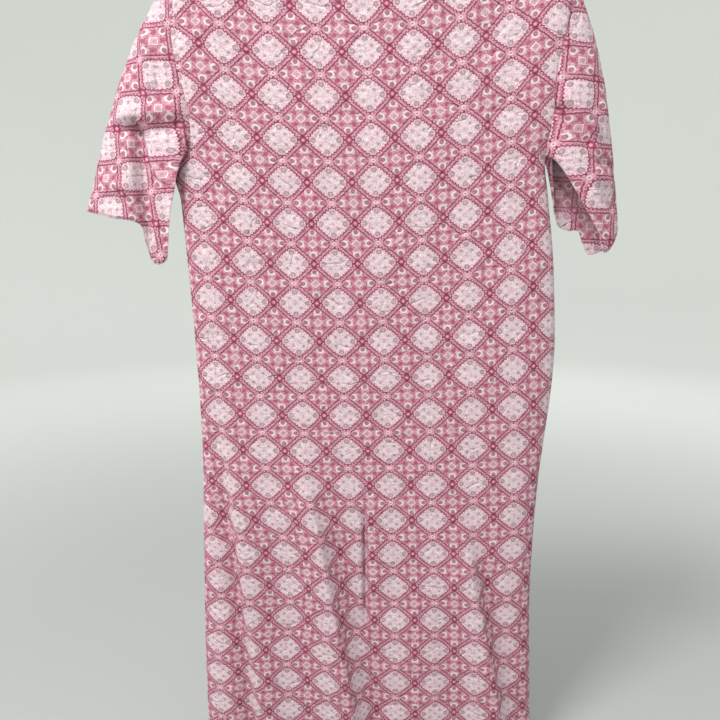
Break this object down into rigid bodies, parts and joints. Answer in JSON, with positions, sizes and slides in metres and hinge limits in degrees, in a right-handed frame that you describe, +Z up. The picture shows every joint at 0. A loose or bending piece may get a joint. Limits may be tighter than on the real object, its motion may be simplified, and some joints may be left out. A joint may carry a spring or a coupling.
{
  "type": "patient gown",
  "caption": "Short-sleeved knee-length patient gown in pink printed jersey, straight cut, hanging, with an overlapping back opening closed by press studs.",
  "frame": {"origin": "midway between the two neck points, where the shoulder seams meet the neckline", "axes": "+Z up to the hanger, -Y out of the plain front, +Y out of the opening back, +X to the wearer's left"},
  "size_m": [0.7644, 0.0854, 1.2304],
  "materials": {
    "printed_cloth": "matte printed jersey",
    "cloth_reverse": "matte reverse of the printed jersey",
    "binding": "matte jersey binding",
    "stay_tape": "woven cotton tape",
    "snap_enamel": "satin enamel",
    "snap_metal": "nickel plate"
  },
  "bodies": {
    "gown": {"front_panel": "printed_cloth", "back_left_side": "printed_cloth", "back_right_side": "printed_cloth", "front_hem": "cloth_reverse", "left_side_hem": "cloth_reverse", "right_side_hem": "cloth_reverse", "front_neck_binding": "binding", "left_shoulder_tape": "stay_tape", "right_shoulder_tape": "stay_tape"},
    "left_flap": {"back_left_flap": "printed_cloth", "left_back_facing": "cloth_reverse", "left_back_hem": "cloth_reverse", "left_neck_binding": "binding", "snap_cap_1": "snap_enamel", "snap_cap_2": "snap_enamel", "snap_cap_3": "snap_enamel", "snap_cap_4": "snap_enamel", "snap_socket_1": "snap_metal", "snap_socket_2": "snap_metal", "snap_socket_3": "snap_metal", "snap_socket_4": "snap_metal"},
    "right_flap": {"back_right_flap": "printed_cloth", "right_back_facing": "cloth_reverse", "right_back_hem": "cloth_reverse", "right_neck_binding": "binding", "snap_stud_1": "snap_metal", "snap_stud_2": "snap_metal", "snap_stud_3": "snap_metal", "snap_stud_4": "snap_metal", "snap_post_1": "snap_enamel", "snap_post_2": "snap_enamel", "snap_post_3": "snap_enamel", "snap_post_4": "snap_enamel"},
    "left_sleeve": {"left_sleeve": "printed_cloth", "left_sleeve_hem": "cloth_reverse"},
    "right_sleeve": {"right_sleeve": "printed_cloth", "right_sleeve_hem": "cloth_reverse"}
  },
  "joints": [
    {"name": "left_flap_open", "type": "hinge", "parent": "gown", "child": "left_flap", "pos_m": [0.088, 0.006, -0.00522], "axis": [0.1031, 0.0252, -0.9944], "range_deg": [0, 120]},
    {"name": "right_flap_open", "type": "hinge", "parent": "gown", "child": "right_flap", "pos_m": [-0.088, 0.006, -0.00522], "axis": [0.1031, -0.0252, 0.9944], "range_deg": [0, 72]},
    {"name": "left_sleeve_lift", "type": "hinge", "parent": "gown", "child": "left_sleeve", "pos_m": [0.2736, 0, -0.0485], "axis": [0, -1, 0], "range_deg": [0, 25]},
    {"name": "right_sleeve_lift", "type": "hinge", "parent": "gown", "child": "right_sleeve", "pos_m": [-0.2736, 0, -0.0485], "axis": [0, 1, 0], "range_deg": [0, 25]}
  ],
  "couplings": [
    {"joint": "right_flap_open", "follows": "left_flap_open", "ratio": 0.6}
  ]
}
